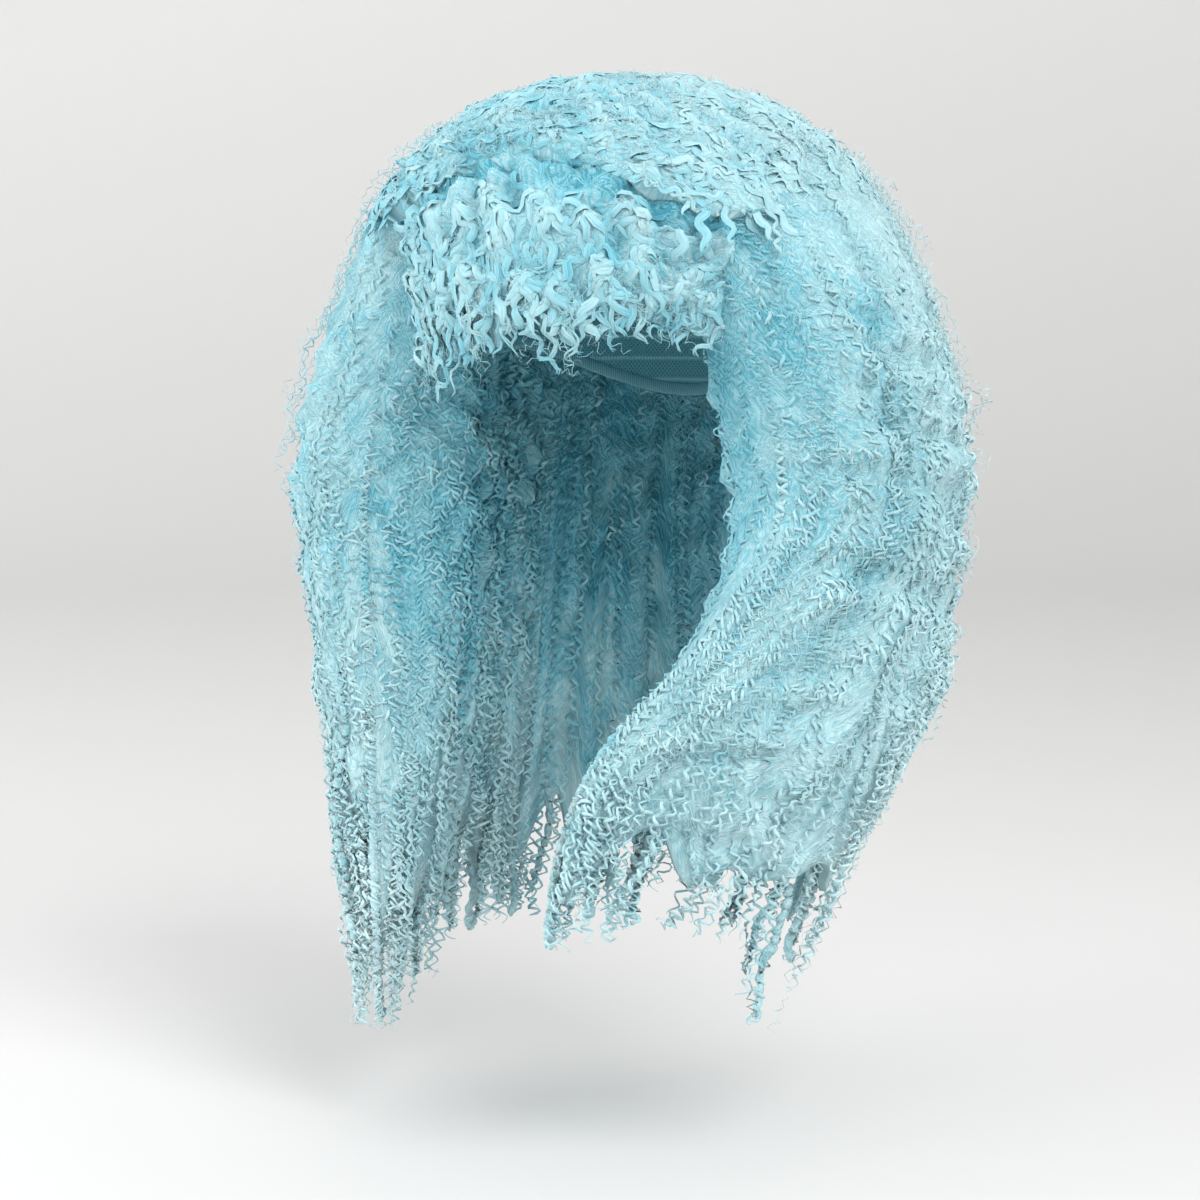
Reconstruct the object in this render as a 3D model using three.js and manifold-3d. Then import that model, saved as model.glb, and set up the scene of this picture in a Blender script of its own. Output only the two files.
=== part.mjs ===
// A long, full curly wig with a short fringe, as it hangs when worn. A net cap carries the hair: a crown of curls,
// a fringe over the brow, and three long falls that hang round the neck and end in pointed locks.
// Millimetres, +Z up. The wearer looks along -Y, so the wearer's left is +X.
// The origin is the top of the cap's hollow, where the crown of a head bears on it.

import * as THREE from "three";
import { mergeVertices } from "three/addons/utils/BufferGeometryUtils.js";
import Module from "manifold-3d";

const wasm = await Module();
wasm.setup();

const { clamp, degToRad, lerp, smoothstep } = THREE.MathUtils;

// Driving dimensions

const HEAD = { halfWidth: 77, halfDepth: 97, crownHeight: 105 }; // crownHeight: widest level to crown
const CAP_WALL = 1.5;
const CAP_RIM = { front: 66, side: 97, back: 114 }; // degrees down from the crown
const SEAT_GAP = 0.6; // between the cap and the hair on it
const EDGE_GAP = 0.09; // between neighbouring pieces, as a share of the step from ring to ring
const SPLIT_GAP = 0.9; // degrees between neighbouring falls
const BACK_SPLIT = 128; // bearing where the side falls meet the back fall

const CROWN_RING = 4; // the ring where the crown ends and the falls start
const ARCH_RING = 3.05; // where the crown's edge lifts to, over the middle of the fringe
const ARCH_BEARING = -10; // degrees, so the arch is highest a little to the wearer's right
const ARCH_HALF_WIDTH = 46;
const ARCH_FULLNESS = 0.75; // under 1 squares the arch's shoulders, over 1 makes it more pointed
const CROWN_LOBES = 12;
const CROWN_LOBE_SHARE = 0.022; // how far a lobe stands out, as a share of its distance from the axis
const CROWN_LOBE_RING = 0.5; // the lobes grow from this ring to the crown's edge

const FRINGE_HALF_WIDTH = 54; // degrees either side of the front
const FRINGE_ROOT_DEPTH = 0.8; // the fringe is set back under the crown's edge by the rest
const FRINGE_BROW = { outer: { drop: 12, side: 122, front: 134 }, inner: { drop: 20, side: 84, front: 104 } };
const FRINGE_TIP = { outer: { side: 112, front: 121 }, inner: { side: 97, front: 110 } };

const HANG_RING = 8; // below this ring each lock has its own length
const LOCK_NOTCH = 26; // how far up the gap between two tips reaches
const LOCK_BULGE = 0.035; // how far a lock stands out, as a share of its distance from the axis
const FRONT_EDGE_SHARE = 0.16; // the part of a side fall that rounds off to its front edge
const FRONT_EDGE_THICKNESS = 0.3; // what is left of its thickness there
const TIP_THICKNESS = 0.5; // what is left of a lock's thickness at its tip
const LOCK_CORE = 0.6; // the depth that a lock thins down to

const STEPS_PER_LOCK = 4; // facets across each lock and lobe
const FALL_STEPS = 12; // facets down a piece
const FRINGE_STEPS = 7;
const CROWN_STEPS = 6;
const CAP_STEPS = 7;
const CAP_BEARINGS = 40; // facets round the cap

const HAIR_COLOUR = "#9fd3de";
const CAP_COLOUR = "#7fb4c2";

// Tables

const table = (columns, rows) =>
  Object.fromEntries(
    columns.map((column, c) => [
      column,
      new THREE.SplineCurve(rows.map((row, ring) => new THREE.Vector2(ring, row[c]))),
    ]),
  );

// One row for each ring of hair from the crown to the tips: height, and how far it reaches to the wearer's left,
// right, front and back. The last two columns are the bearings of the side falls' front edges.
const OUTER = table(
  ["z", "left", "right", "front", "back", "leftEdge", "rightEdge"],
  [
    [37, 0, 0, 0, 0, 58, 58],
    [33, 46, 46, 42, 45, 58, 58],
    [18, 88, 88, 78, 85, 58, 58],
    [-6, 121, 122, 104, 115, 58, 58],
    [-40, 150, 152, 122, 140, 58, 58],
    [-90, 173, 174, 130, 157, 57, 60],
    [-145, 189, 196, 133, 167, 57, 62],
    [-200, 194, 206, 133, 172, 54, 64],
    [-270, 186, 195, 137, 170, 36, 66],
    [-340, 176, 181, 143, 160, 17, 66],
    [-410, 152, 170, 147, 146, 8, 64],
    [-480, 126, 157, 147, 128, 6, 62],
  ],
);

// The same rings on the inside: on the cap at first, then hanging clear of the neck and shoulders.
const INNER = table(
  ["z", "left", "right", "front", "back"],
  [
    [1, 0, 0, 0, 0],
    [-7, 29, 29, 37, 37],
    [-26, 52, 52, 65, 65],
    [-52, 67, 67, 85, 85],
    [-79, 75.5, 75.5, 95, 95],
    [-118, 77.5, 77.5, 97, 97],
    [-165, 84, 84, 98, 93],
    [-215, 90, 90, 98, 87],
    [-275, 98, 98, 101, 88],
    [-340, 106, 106, 106, 95],
    [-410, 110, 112, 112, 100],
    [-480, 106, 122, 118, 100],
  ],
);
const LAST_RING = OUTER.z.points.length - 1;

// The height of each lock's tip, in order of bearing: from the wearer's right round the front to the left for the
// fringe, and from a fall's first bearing to its last. Two falls that meet have the same height there.
const TIPS = {
  fringe: [-140, -136, -128, -116, -123, -112, -108, -115],
  fall_left: [-437, -420, -428, -492, -436, -392, -372, -380],
  fall_back: [-380, -428, -452, -446, -466, -470],
  fall_right: [-470, -480, -490, -494, -500, -512],
};

// Points of the hair and the head

const column = (curve, ring) => curve.getPoint(ring / LAST_RING).y;

// A point on an oval with its own half-size on each side. Bearing 0 is the front, and 90 degrees is the wearer's left.
function ovalPoint(bearing, z, { left, right, front, back }) {
  const across = Math.sin(bearing);
  const along = Math.cos(bearing);
  return new THREE.Vector3(across * (across > 0 ? left : right), -along * (along > 0 ? front : back), z);
}

function ringPoint(rings, ring, bearing) {
  const sizes = {};
  for (const side of ["left", "right", "front", "back"]) {
    sizes[side] = column(rings[side], ring);
  }
  return ovalPoint(bearing, column(rings.z, ring), sizes);
}

// Depth is 0 on the inside of the hair and 1 on the outside.
const hairPoint = (bearing, ring, depth) =>
  ringPoint(INNER, ring, bearing).lerp(ringPoint(OUTER, ring, bearing), depth);

// A point of the head's surface, pushed out by an offset. Polar is the angle down from the crown.
function headPoint(bearing, polar, offset) {
  const reach = Math.sin(polar);
  return new THREE.Vector3(
    (HEAD.halfWidth + offset) * reach * Math.sin(bearing),
    -(HEAD.halfDepth + offset) * reach * Math.cos(bearing),
    (HEAD.crownHeight + offset) * Math.cos(polar) - HEAD.crownHeight,
  );
}

function capRim(bearing) {
  const along = Math.cos(bearing);
  const end = along > 0 ? CAP_RIM.front : CAP_RIM.back;
  return degToRad(lerp(CAP_RIM.side, end, along * along));
}

// The ring of the crown's edge, which lifts in an arch over the fringe.
function crownEdge(bearing) {
  const turn = bearing - degToRad(ARCH_BEARING);
  const fromMiddle = Math.abs(Math.atan2(Math.sin(turn), Math.cos(turn)));
  const across = clamp(fromMiddle / degToRad(ARCH_HALF_WIDTH), 0, 1);
  return lerp(CROWN_RING, ARCH_RING, Math.cos((across * Math.PI) / 2) ** ARCH_FULLNESS);
}

// Where along a row of locks a share of it falls: the lock, and how near its middle, from 0 at the gap to 1.
function lockAt(tips, share) {
  const place = clamp(share, 0, 1) * tips.length;
  const lock = Math.min(Math.floor(place), tips.length - 1);
  return { lock, offset: place - lock - 0.5, middle: Math.sin(Math.PI * (place - lock)) };
}

function tipHeight(tips, share) {
  const { lock, offset, middle } = lockAt(tips, share);
  const neighbour = tips[clamp(lock + Math.sign(offset), 0, tips.length - 1)];
  const gapHeight = Math.max(tips[lock], neighbour) + LOCK_NOTCH;
  return lerp(gapHeight, tips[lock], middle);
}

// Closed shapes

// Moves every vertex of a closed three.js geometry to its place on the wig.
function reshape(geometry, place) {
  const { position, uv } = geometry.attributes;
  for (let i = 0; i < position.count; i++) {
    const moved = place(new THREE.Vector3().fromBufferAttribute(position, i), uv.getX(i), uv.getY(i));
    position.setXYZ(i, moved.x, moved.y, moved.z);
  }
  geometry.deleteAttribute("normal");
  geometry.deleteAttribute("uv");
  return mergeVertices(geometry, 1e-3);
}

// A bowl-shaped wall: its outside from the crown to the rim, then its inside from the rim back to the crown.
function bowl(bearings, steps, outside, inside) {
  const rows = 2 * steps + 1;
  return reshape(new THREE.SphereGeometry(1, bearings, rows), (_, u, v) => {
    const bearing = 2 * Math.PI * u;
    const row = Math.round((1 - v) * rows);
    return row <= steps ? outside(bearing, row / steps) : inside(bearing, (rows - row) / steps);
  });
}

// A curved slab: share runs round the head, depth outwards, and length down.
function slab(shares, lengths, place) {
  return reshape(new THREE.BoxGeometry(1, 1, 1, shares, 2, lengths), (at) =>
    place(at.x + 0.5, at.y + 0.5, at.z + 0.5),
  );
}

function toSolid(geometry) {
  return new wasm.Manifold(
    new wasm.Mesh({
      numProp: 3,
      vertProperties: geometry.attributes.position.array,
      triVerts: new Uint32Array(geometry.index.array),
    }),
  );
}

function toGeometry(solid) {
  const mesh = solid.getMesh();
  const geometry = new THREE.BufferGeometry();
  geometry.setAttribute("position", new THREE.BufferAttribute(mesh.vertProperties, mesh.numProp));
  geometry.setIndex(new THREE.BufferAttribute(mesh.triVerts, 1));
  geometry.computeVertexNormals();
  return geometry;
}

// The space that the head and the cap take up, with the seat's gap round it.
const headRoom = toSolid(
  reshape(new THREE.SphereGeometry(1, CAP_BEARINGS, CAP_BEARINGS / 2), (_, u, v) =>
    headPoint(2 * Math.PI * u, Math.PI * (1 - v), CAP_WALL + SEAT_GAP),
  ),
);
const seated = (geometry) => toGeometry(toSolid(geometry).subtract(headRoom));

// Pieces

function cap() {
  return bowl(
    CAP_BEARINGS,
    CAP_STEPS,
    (bearing, share) => headPoint(bearing, share * capRim(bearing), CAP_WALL),
    (bearing, share) => headPoint(bearing, share * capRim(bearing), 0),
  );
}

function crown() {
  const lobe = (bearing, ring) =>
    1 + CROWN_LOBE_SHARE * Math.cos(CROWN_LOBES * bearing) * smoothstep(ring, CROWN_LOBE_RING, CROWN_RING);
  const outside = (bearing, share) => {
    const ring = share * crownEdge(bearing);
    const point = hairPoint(bearing, ring, 1);
    return point.multiply(new THREE.Vector3(lobe(bearing, ring), lobe(bearing, ring), 1));
  };
  const inside = (bearing, share) => hairPoint(bearing, share * crownEdge(bearing), 0);
  return seated(bowl(STEPS_PER_LOCK * CROWN_LOBES, CROWN_STEPS, outside, inside));
}

function fringe() {
  const evenRing = ({ side, front }) => ({ left: side, right: side, front, back: front });
  return seated(
    slab(STEPS_PER_LOCK * TIPS.fringe.length, FRINGE_STEPS, (share, depth, length) => {
      const bearing = degToRad(lerp(-FRINGE_HALF_WIDTH, FRINGE_HALF_WIDTH, share));
      const rootRing = crownEdge(bearing) + EDGE_GAP;
      const tipZ = tipHeight(TIPS.fringe, share);
      const layer = (side, rootDepth) => {
        const root = hairPoint(bearing, rootRing, rootDepth);
        const brow = ovalPoint(bearing, root.z - FRINGE_BROW[side].drop, evenRing(FRINGE_BROW[side]));
        const tip = ovalPoint(bearing, tipZ, evenRing(FRINGE_TIP[side]));
        return new THREE.QuadraticBezierCurve3(root, brow, tip).getPoint(length);
      };
      return layer("inner", 0).lerp(layer("outer", FRINGE_ROOT_DEPTH), depth);
    }),
  );
}

// A fall runs between two bearings, which may change from ring to ring. frontShare is the end that is a front edge.
function fall(tips, firstBearing, lastBearing, frontShare) {
  const hangZ = column(OUTER.z, HANG_RING);
  const lastZ = column(OUTER.z, LAST_RING);
  const edgeThickness = (share) => {
    if (frontShare === undefined) return 1;
    const fromEdge = clamp(Math.abs(share - frontShare) / FRONT_EDGE_SHARE, 0, 1);
    return lerp(FRONT_EDGE_THICKNESS, 1, Math.sqrt(1 - (1 - fromEdge) ** 2));
  };
  const tipThickness = (ring) => lerp(1, TIP_THICKNESS, smoothstep(ring, HANG_RING, LAST_RING));
  return seated(
    slab(STEPS_PER_LOCK * tips.length, FALL_STEPS, (share, depth, length) => {
      const ring = lerp(CROWN_RING + EDGE_GAP, LAST_RING, length);
      const bearing = degToRad(lerp(firstBearing(ring), lastBearing(ring), share));
      const thickness = edgeThickness(share) * tipThickness(ring);
      const point = hairPoint(bearing, ring, lerp(LOCK_CORE, depth, thickness));
      const bulge = LOCK_BULGE * (lockAt(tips, share).middle - 0.5) * smoothstep(ring, CROWN_RING, HANG_RING);
      point.x *= 1 + bulge * depth;
      point.y *= 1 + bulge * depth;
      if (point.z < hangZ) {
        const drop = (hangZ - point.z) / (hangZ - lastZ);
        point.z = lerp(hangZ, tipHeight(tips, share), drop);
      }
      return point;
    }),
  );
}

const leftEdge = (ring) => column(OUTER.leftEdge, ring);
const rightEdge = (ring) => -column(OUTER.rightEdge, ring);
const backLeft = BACK_SPLIT;
const backRight = 360 - BACK_SPLIT;

const hair = new THREE.MeshStandardMaterial({ color: HAIR_COLOUR, roughness: 0.6, metalness: 0 });
const net = new THREE.MeshStandardMaterial({ color: CAP_COLOUR, roughness: 0.8, metalness: 0 });

function piece(name, geometry, material) {
  const mesh = new THREE.Mesh(geometry, material);
  mesh.name = name;
  return mesh;
}

const wig = new THREE.Group();
wig.add(
  piece("cap", cap(), net),
  piece("crown", crown(), hair),
  piece("fringe", fringe(), hair),
  piece("fall_left", fall(TIPS.fall_left, leftEdge, () => backLeft - SPLIT_GAP, 0), hair),
  piece("fall_back", fall(TIPS.fall_back, () => backLeft, () => backRight), hair),
  piece("fall_right", fall(TIPS.fall_right, () => backRight - 360 + SPLIT_GAP, rightEdge, 1), hair),
);

export default wig;
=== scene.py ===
# %% [markdown]
# # A long curly wig
# The wig is a net cap that carries a great many crimped strands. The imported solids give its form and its
# size, and this lesson grows the hair on them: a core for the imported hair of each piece, curls half sunk in
# it, then loose frizz. The wearer looks along -Y, the wearer's left is +X, and the origin is the top of the
# cap's hollow.

# %% Load the frame
import math

import bmesh
import bpy
import numpy as np
from mathutils import Matrix


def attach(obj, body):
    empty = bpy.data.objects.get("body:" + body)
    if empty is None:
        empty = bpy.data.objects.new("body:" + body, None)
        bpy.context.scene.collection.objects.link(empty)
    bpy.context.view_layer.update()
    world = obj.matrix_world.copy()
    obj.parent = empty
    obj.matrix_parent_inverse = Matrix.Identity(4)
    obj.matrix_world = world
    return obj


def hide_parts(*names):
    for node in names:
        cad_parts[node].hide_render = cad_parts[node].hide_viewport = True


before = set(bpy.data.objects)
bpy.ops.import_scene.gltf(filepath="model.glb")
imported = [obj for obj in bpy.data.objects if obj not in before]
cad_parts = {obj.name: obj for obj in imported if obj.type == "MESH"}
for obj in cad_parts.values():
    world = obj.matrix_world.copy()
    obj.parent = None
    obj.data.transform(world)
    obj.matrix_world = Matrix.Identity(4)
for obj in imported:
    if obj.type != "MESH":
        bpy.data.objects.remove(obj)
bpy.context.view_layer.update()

# %% [markdown]
# ## The form of the hair
# Every curl needs to know where the hair's surface is and which way it flows. Rays cast on the solids could
# tell, but they miss at the pointed tips and along the open front. The solids are stacks of ovals, so the
# same ovals are written here, one row for each ring from the crown to the tips, and a smooth curve through
# the rows gives every ring between.

# %% Rings of hair
MM = 0.001
CROWN_RING = 4
HANG_RING = 8

# Columns: height, then the reach to the wearer's left, right, front and back.
OUTER = MM * np.array([
    [37, 0, 0, 0, 0],
    [33, 46, 46, 42, 45],
    [18, 88, 88, 78, 85],
    [-6, 121, 122, 104, 115],
    [-40, 150, 152, 122, 140],
    [-90, 173, 174, 130, 157],
    [-145, 189, 196, 133, 167],
    [-200, 194, 206, 133, 172],
    [-270, 186, 195, 137, 170],
    [-340, 182, 183, 145, 160],
    [-410, 164, 174, 150, 146],
    [-480, 138, 162, 150, 128],
])
INNER = MM * np.array([
    [1, 0, 0, 0, 0],
    [-7, 29, 29, 37, 37],
    [-26, 52, 52, 65, 65],
    [-52, 67, 67, 85, 85],
    [-79, 76, 76, 95, 95],
    [-118, 80, 80, 99, 99],
    [-165, 84, 84, 98, 93],
    [-215, 90, 90, 98, 87],
    [-275, 98, 98, 101, 88],
    [-340, 106, 106, 106, 95],
    [-410, 110, 112, 112, 100],
    [-480, 106, 122, 118, 100],
])
LAST_RING = len(OUTER) - 1


def between_rows(rows, place):
    """The rows of a table read at any place, on a smooth curve through them."""
    place = np.clip(place, 0, len(rows) - 1)
    row = np.minimum(place.astype(int), len(rows) - 2)
    t = (place - row)[..., None]
    before, here, after, beyond = (rows[np.clip(row + k, 0, len(rows) - 1)] for k in (-1, 0, 1, 2))
    rise, next_rise = (after - before) / 2, (beyond - here) / 2
    cubic = 2 * (here - after) + rise + next_rise
    square = 3 * (after - here) - 2 * rise - next_rise
    return ((cubic * t + square) * t + rise) * t + here


def oval_point(sizes, bearing):
    """A point of an oval. Bearing 0 is the front, and a quarter turn is the wearer's left."""
    z, left, right, front, back = np.moveaxis(sizes, -1, 0)
    across, ahead = np.sin(bearing), np.cos(bearing)
    x = across * np.where(across > 0, left, right)
    y = -ahead * np.where(ahead > 0, front, back)
    return np.stack([x, y, z + 0 * x], axis=-1)


def hair_point(bearing, ring, depth):
    """Depth is 0 on the inside of the hair and 1 on the outside."""
    inner = oval_point(between_rows(INNER, ring), bearing)
    outer = oval_point(between_rows(OUTER, ring), bearing)
    return inner + (outer - inner) * depth[..., None]


print("rings reach from", OUTER[0, 0], "to", OUTER[-1, 0], "m")

# %% [markdown]
# ## Three ways to cover the head
# The crown is read by bearing and ring. The falls and the fringe are read by share, which runs round the head
# from one end of the piece to the other, and by length, which runs from 0 at the roots to 1 at the tips. A
# strand that keeps its share then flows with its piece, forward over the chest on the left and straight down
# on the right.

# %% Crown, falls and fringe
FALLS = ("fall_left", "fall_back", "fall_right")
ARCH_RING, ARCH_FULLNESS = 3.05, 0.75
ARCH_BEARING, ARCH_HALF_WIDTH = math.radians(-10), math.radians(46)
# The bearing, in degrees, at which the left fall meets the back one.
BACK_SPLIT = 128
FRONT_EDGE_SHARE, FRONT_EDGE_THICKNESS, LOCK_CORE = 0.16, 0.015, 0.6
TIP_THICKNESS, CLOSED_THICKNESS, CLOSING = 0.85, 0.75, (0.75, 1.05)

# The bearings, in degrees, of the left and right falls' front edges, ring by ring.
FRONT_EDGES = np.array([
    [44, 58], [44, 58], [44, 58], [44, 58], [44, 58], [47, 60],
    [52, 62], [52, 64], [36, 66], [17, 66], [8, 64], [6, 62],
])
TIPS = {
    "fringe": MM * np.array([-140, -136, -128, -116, -123, -112, -108, -115]),
    "fall_left": MM * np.array([-437, -420, -428, -492, -436, -392, -372, -380]),
    "fall_back": MM * np.array([-380, -428, -452, -446, -466, -470]),
    "fall_right": MM * np.array([-470, -480, -490, -494, -500, -512]),
}
FRINGE_HALF_WIDTH = math.radians(54)
FRINGE_ROOT_DEPTH = 0.8
FRINGE_BROW = MM * np.array([[20, 84, 84, 104, 104], [12, 122, 122, 134, 134]])
FRINGE_TIP = MM * np.array([[0, 97, 97, 110, 110], [0, 112, 112, 121, 121]])


def mix(a, b, share):
    return a + (b - a) * share


def ease(low, high, value):
    t = np.clip((value - low) / (high - low), 0, 1)
    return t * t * (3 - 2 * t)


def crown_edge(bearing):
    """The ring where the crown ends: an arch over the fringe."""
    turn = np.abs((bearing - ARCH_BEARING + math.pi) % (2 * math.pi) - math.pi)
    arch = np.cos(np.clip(turn / ARCH_HALF_WIDTH, 0, 1) * math.pi / 2) ** ARCH_FULLNESS
    return mix(CROWN_RING, ARCH_RING, arch)


def tip_height(name, share):
    tips = TIPS[name]
    return np.interp(share * len(tips) - 0.5, np.arange(len(tips)), tips)


def fall_bearings(name, ring):
    edges = between_rows(FRONT_EDGES, ring)
    if name == "fall_left":
        return edges[..., 0], np.full_like(ring, BACK_SPLIT)
    if name == "fall_right":
        return np.full_like(ring, -BACK_SPLIT), -edges[..., 1]
    return np.full_like(ring, BACK_SPLIT), np.full_like(ring, 360 - BACK_SPLIT)


def edge_thickness(name, share):
    """From almost nothing at a fall's front edge to 1, rounded."""
    edge_gap = {"fall_left": share, "fall_right": 1 - share, "fall_back": np.ones_like(share)}[name]
    from_edge = np.clip(edge_gap / FRONT_EDGE_SHARE, 0, 1)
    return mix(FRONT_EDGE_THICKNESS, 1, np.sqrt(1 - (1 - from_edge) ** 2))


def fall_point(name, share, length, depth):
    ring = mix(CROWN_RING, LAST_RING, length)
    first, last = fall_bearings(name, ring)
    bearing = np.radians(mix(first, last, share))
    thickness = edge_thickness(name, share) * mix(1, TIP_THICKNESS, ease(HANG_RING, LAST_RING, ring))
    thickness = thickness * mix(1, CLOSED_THICKNESS, ease(*CLOSING, length))
    point = hair_point(bearing, ring, mix(LOCK_CORE, depth, thickness))
    hang, last_z = OUTER[HANG_RING, 0], OUTER[LAST_RING, 0]
    drop = np.maximum((hang - point[..., 2]) / (hang - last_z), 0)
    longer = mix(hang, tip_height(name, share), drop)
    point[..., 2] = np.where(drop > 0, longer, point[..., 2])
    return point


def fringe_point(share, length, depth):
    bearing = mix(-FRINGE_HALF_WIDTH, FRINGE_HALF_WIDTH, share)
    layers = []
    for layer, root_depth in enumerate((0.0, FRINGE_ROOT_DEPTH)):
        root = hair_point(bearing, crown_edge(bearing), np.full_like(share, root_depth))
        brow = oval_point(FRINGE_BROW[layer], bearing)
        brow[..., 2] = root[..., 2] - FRINGE_BROW[layer, 0]
        tip = oval_point(FRINGE_TIP[layer], bearing)
        tip[..., 2] = tip_height("fringe", share)
        t = length[..., None]
        layers.append(root * (1 - t) ** 2 + brow * 2 * t * (1 - t) + tip * t ** 2)
    return mix(layers[0], layers[1], depth[..., None])


for name in FALLS:
    share, length = np.meshgrid(np.linspace(0, 1, 20), np.linspace(0, 1, 20))
    reach = fall_point(name, share, length, np.ones_like(share)).reshape(-1, 3)

# %% [markdown]
# ## Tufts
# The surface isn't smooth: curls gather in soft tufts a few centimetres across. Waves in many directions,
# added together, make such lumps without a picture, and the cores and the curls on them share the same lumps.
# The front edge of a fall is rounded, so equal shares aren't equal distances, and each fall is also measured
# round in metres.

# %% Soft lumps
# Sizes in metres, by which the lumps are spaced.
FALL_REACH, FRINGE_WIDTH, FRINGE_REACH = 0.44, 0.21, 0.11
CROWN_ROUND, CROWN_REACH, CROWN_RING_STEP = 0.60, 0.17, 0.04
TUFT_DEPTH, FRINGE_TUFT_DEPTH, ARCH_LIP = 0.030, 0.08, 0.15
SEAM, ROOTS = 0.08, 0.2
MEASURED_AT, MEASURE_STEPS = 0.45, 400


def soft_lumps(u, v, seed, sizes=(0.014, 0.05), waves=16):
    """About -1.5 to 1.5, over a surface measured in metres."""
    draw = np.random.default_rng(seed)
    total = 0
    for _ in range(waves):
        angle, size, phase = draw.uniform(0, 2 * math.pi), draw.uniform(*sizes), draw.uniform(0, 2 * math.pi)
        total = total + np.sin(2 * math.pi * (u * math.cos(angle) + v * math.sin(angle)) / size + phase)
    return total / math.sqrt(waves / 2)


def measure_round(name, depth):
    """How far it is, in metres, from a fall's first side to each of many shares, halfway down it."""
    share = 0.5 - 0.5 * np.cos(np.linspace(0, math.pi, MEASURE_STEPS))
    line = fall_point(name, share, np.full_like(share, MEASURED_AT), np.full_like(share, depth))
    return share, np.append(0, np.cumsum(np.linalg.norm(np.diff(line, axis=0), axis=1)))


fall_round = {(name, side): measure_round(name, side) for name in FALLS for side in (0, 1)}


def fall_tufts(name, share, length):
    return soft_lumps(np.interp(share, *fall_round[name, 1]), length * FALL_REACH, len(name))


def crown_tufts(share, ring):
    turn = 2 * math.pi * share
    lumps = soft_lumps(ring * np.sin(turn) * CROWN_RING_STEP, ring * np.cos(turn) * CROWN_RING_STEP, 5)
    return lumps * (1 - ease(CROWN_RING - 0.7, CROWN_RING, ring))


def fringe_tufts(share, length):
    return soft_lumps(share * FRINGE_WIDTH, length * FRINGE_REACH, 3)


def fall_surface(name):
    """The tufts flatten out at the roots and at the seams between falls, so that the pieces meet."""
    def place(share, length, depth):
        lump = TUFT_DEPTH * fall_tufts(name, share, length) * np.where(depth > 0.5, 1, -1)
        if name != "fall_left":
            lump = lump * ease(0, SEAM, share)
        if name != "fall_right":
            lump = lump * ease(0, SEAM, 1 - share)
        return fall_point(name, share, length, depth + lump * ease(0, ROOTS, length))
    return place


def crown_surface(share, ring, depth):
    bearing = 2 * math.pi * share
    edge = crown_edge(bearing)
    lip = ARCH_LIP * ease(-0.4, 0.0, ring - edge) * (CROWN_RING - edge) / (CROWN_RING - ARCH_RING)
    return hair_point(bearing, ring, depth - lip + TUFT_DEPTH * crown_tufts(share, ring))


def fringe_surface(share, length, depth):
    return fringe_point(share, length, depth + FRINGE_TUFT_DEPTH * fringe_tufts(share, length))


for (name, side), (share, distance) in fall_round.items():
    print(name, "outside" if side else "inside", "is", round(distance[-1], 3), "m round")


# %% [markdown]
# ## Finishes
# The fibre is a pale aqua that lets light through. Where it lies deep it looks darker and greener, because
# light reaches it through other strands, so that shade is painted into a lightness that each mesh carries for
# each strand as an attribute, with painted light at the tips and on the wearer's left, and the material mixes
# its colours by it. Fine lines along a strand come from its own UV map. The steps that several finishes share
# are kept in one class.

# %% Fibre material
# From the darkest, for hair deep in painted shade, to the palest, for the thin tips in painted light.
HAIR_COLOURS = ((0.05, 0.27, 0.36, 1), (0.17, 0.48, 0.575, 1), (0.335, 0.57, 0.625, 1),
                (0.45, 0.67, 0.71, 1), (0.57, 0.77, 0.80, 1))
LINES_ROUND, LINES_ALONG = 16.0, 90.0
SOFT_FIBRE = {"Roughness": 0.65, "Specular IOR Level": 0.15, "Sheen Weight": 0.08, "Sheen Roughness": 0.5,
              "Sheen Tint": (0.8, 0.96, 1.0, 1), "Subsurface Weight": 0.5,
              "Subsurface Radius": (0.7, 0.95, 1.0)}


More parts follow.
